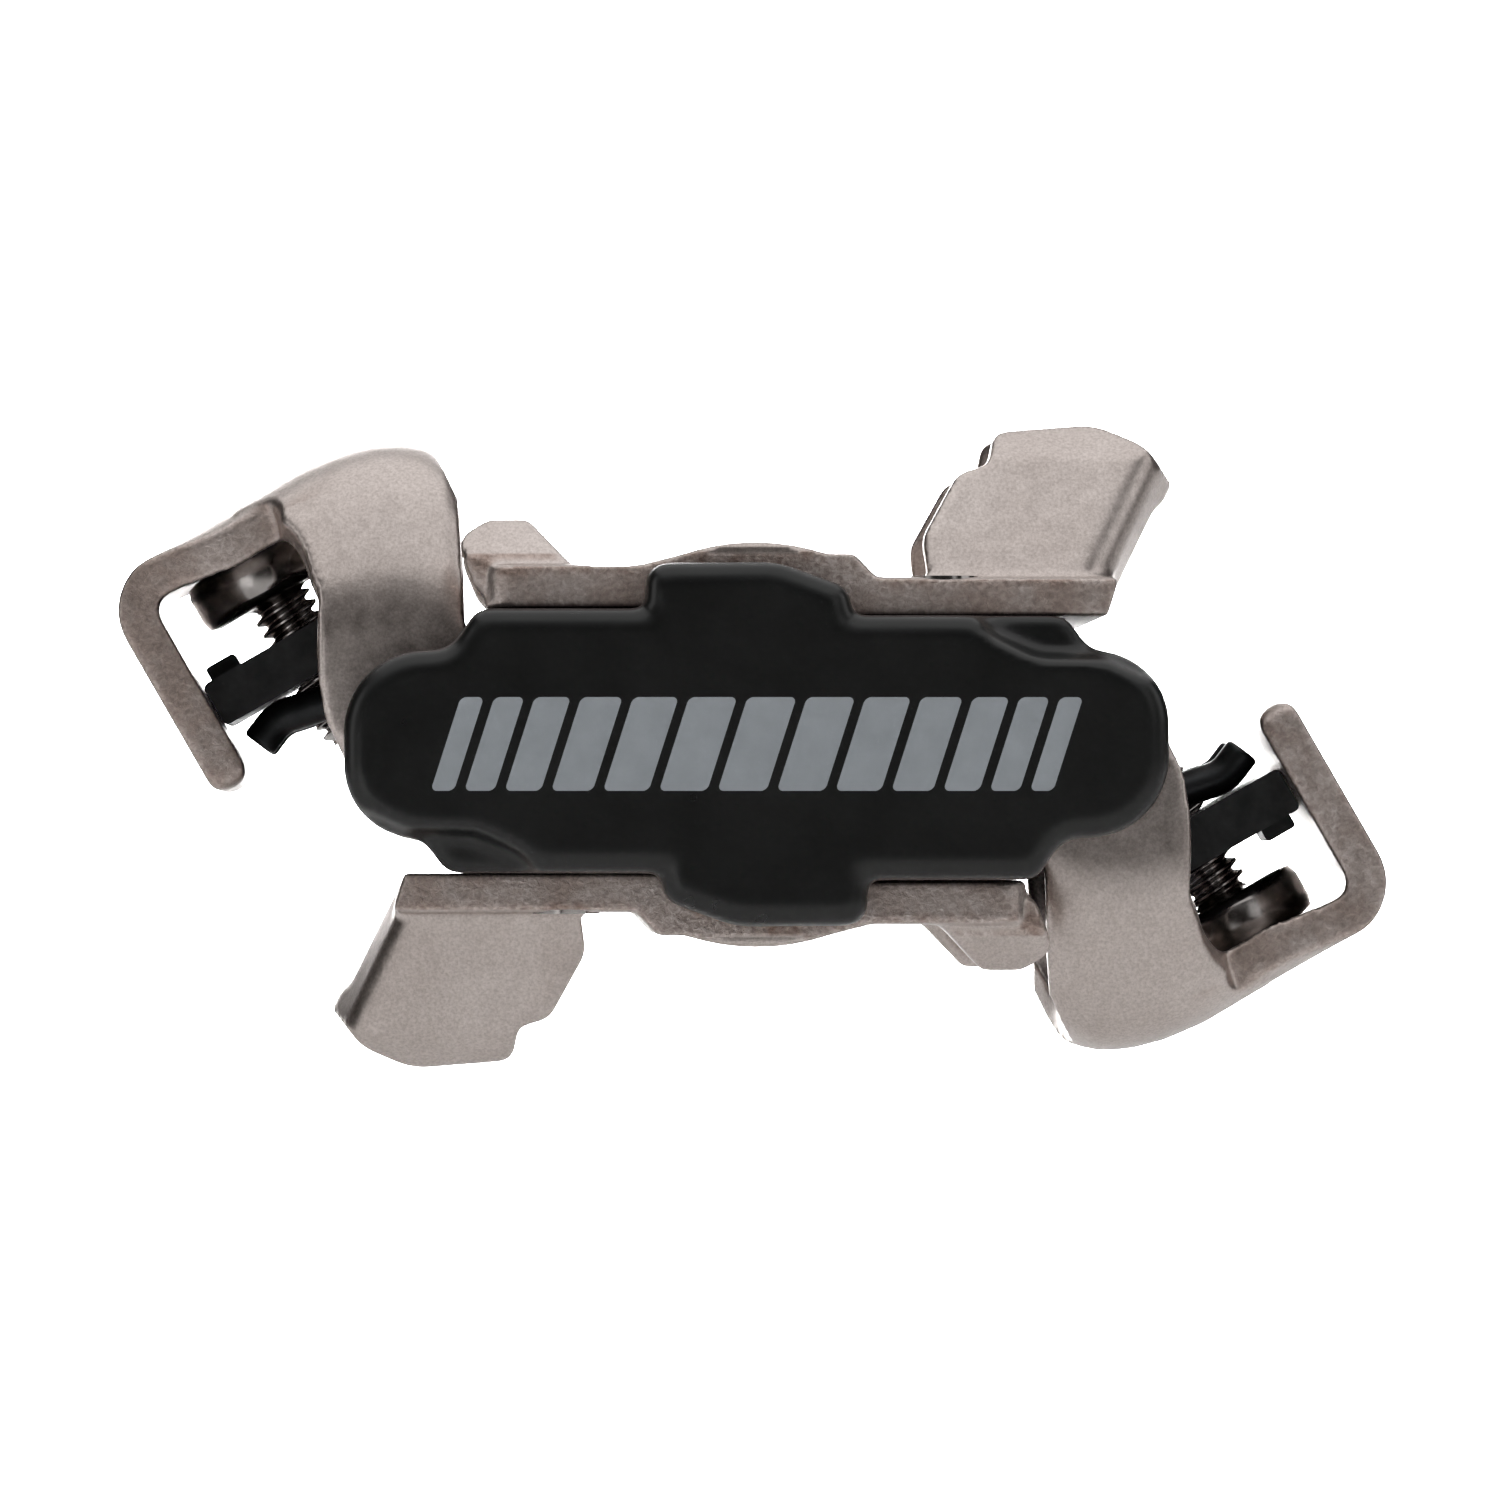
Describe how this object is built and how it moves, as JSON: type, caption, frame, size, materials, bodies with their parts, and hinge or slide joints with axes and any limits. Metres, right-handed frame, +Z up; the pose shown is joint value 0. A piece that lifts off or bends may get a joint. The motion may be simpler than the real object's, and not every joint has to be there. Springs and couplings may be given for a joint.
{
  "type": "clipless pedal",
  "caption": "Double-sided clipless bicycle pedal with fixed front claws, sprung rear claws, tension bolts and a ball-bearing spindle.",
  "frame": {"origin": "on the spindle axis, at the shoulder that seats on the crank arm", "axes": "+Y along the spindle towards the crank (inboard), +X forward, +Z up with the pedal held level"},
  "size_m": [0.095, 0.098, 0.048],
  "materials": {
    "spindle_steel": "satin, ground",
    "ball_steel": "polished",
    "cone_steel": "ground",
    "body_paint": "semi-gloss black over cast aluminium",
    "sleeve_resin": "moulded",
    "tube_aluminium": "turned",
    "seal_rubber": "moulded",
    "plated_steel": "satin warm grey plating on pressed steel",
    "screw_black": "black oxide",
    "spring_black": "black spring steel"
  },
  "bodies": {
    "spindle": {"spindle": "spindle_steel", "outboard_cone": "cone_steel", "cone_locknut": "cone_steel"},
    "inboard_balls": {"inboard_balls": "ball_steel"},
    "outboard_balls": {"outboard_balls": "ball_steel"},
    "pedal": {"pedal_body": "body_paint", "lock_sleeve": "sleeve_resin", "bearing_tube": "tube_aluminium", "spindle_seal": "seal_rubber", "top_cleat_plate": "plated_steel", "top_plate_screws": "screw_black", "top_binding_pin": "cone_steel", "top_outboard_spring": "spring_black", "top_inboard_spring": "spring_black", "bottom_cleat_plate": "plated_steel", "bottom_plate_screws": "screw_black", "bottom_binding_pin": "cone_steel", "bottom_outboard_spring": "spring_black", "bottom_inboard_spring": "spring_black"},
    "top_rear_claw": {"top_rear_claw": "plated_steel"},
    "top_tension_bolt": {"top_tension_bolt": "screw_black"},
    "top_tension_nut": {"top_tension_nut": "screw_black"},
    "bottom_rear_claw": {"bottom_rear_claw": "plated_steel"},
    "bottom_tension_bolt": {"bottom_tension_bolt": "screw_black"},
    "bottom_tension_nut": {"bottom_tension_nut": "screw_black"}
  },
  "joints": [
    {"name": "pedal_spin", "type": "hinge", "parent": "spindle", "child": "pedal", "pos_m": [0, 0, 0], "axis": [0, 1, 0], "continuous": true},
    {"name": "inboard_ball_roll", "type": "hinge", "parent": "spindle", "child": "inboard_balls", "pos_m": [0, -0.025, 0], "axis": [0, 1, 0], "continuous": true},
    {"name": "outboard_ball_roll", "type": "hinge", "parent": "spindle", "child": "outboard_balls", "pos_m": [0, -0.066, 0], "axis": [0, 1, 0], "continuous": true},
    {"name": "top_binding_hinge", "type": "hinge", "parent": "pedal", "child": "top_rear_claw", "pos_m": [-0.0245, -0.053, 0.0007], "axis": [0, -1, 0], "range_deg": [0, 18], "stiffness_Nm_per_rad": 6, "springref_deg": -20.05, "deforming": ["top_outboard_spring", "top_inboard_spring"]},
    {"name": "top_tension_bolt_turn", "type": "hinge", "parent": "top_rear_claw", "child": "top_tension_bolt", "pos_m": [-0.03334, -0.053, 0.00714], "axis": [0.5, 0, -0.866], "range_deg": [-540, 540]},
    {"name": "top_tension_nut_slide", "type": "slide", "parent": "top_rear_claw", "child": "top_tension_nut", "axis": [-0.5, 0, 0.866], "range_m": [-0.00151, 0.00151]},
    {"name": "bottom_binding_hinge", "type": "hinge", "parent": "pedal", "child": "bottom_rear_claw", "pos_m": [0.0245, -0.053, -0.0007], "axis": [0, -1, 0], "range_deg": [0, 18], "stiffness_Nm_per_rad": 6, "springref_deg": -20.05, "deforming": ["bottom_outboard_spring", "bottom_inboard_spring"]},
    {"name": "bottom_tension_bolt_turn", "type": "hinge", "parent": "bottom_rear_claw", "child": "bottom_tension_bolt", "pos_m": [0.03334, -0.053, -0.00714], "axis": [-0.5, 0, 0.866], "range_deg": [-540, 540]},
    {"name": "bottom_tension_nut_slide", "type": "slide", "parent": "bottom_rear_claw", "child": "bottom_tension_nut", "axis": [0.5, 0, -0.866], "range_m": [-0.00151, 0.00151]}
  ],
  "couplings": [
    {"joint": "inboard_ball_roll", "follows": "pedal_spin", "ratio": 0.61364},
    {"joint": "outboard_ball_roll", "follows": "pedal_spin", "ratio": 0.63889},
    {"joint": "top_tension_nut_slide", "follows": "top_tension_bolt_turn", "m_per_rad": 0.00015915},
    {"joint": "bottom_tension_nut_slide", "follows": "bottom_tension_bolt_turn", "m_per_rad": 0.00015915}
  ]
}
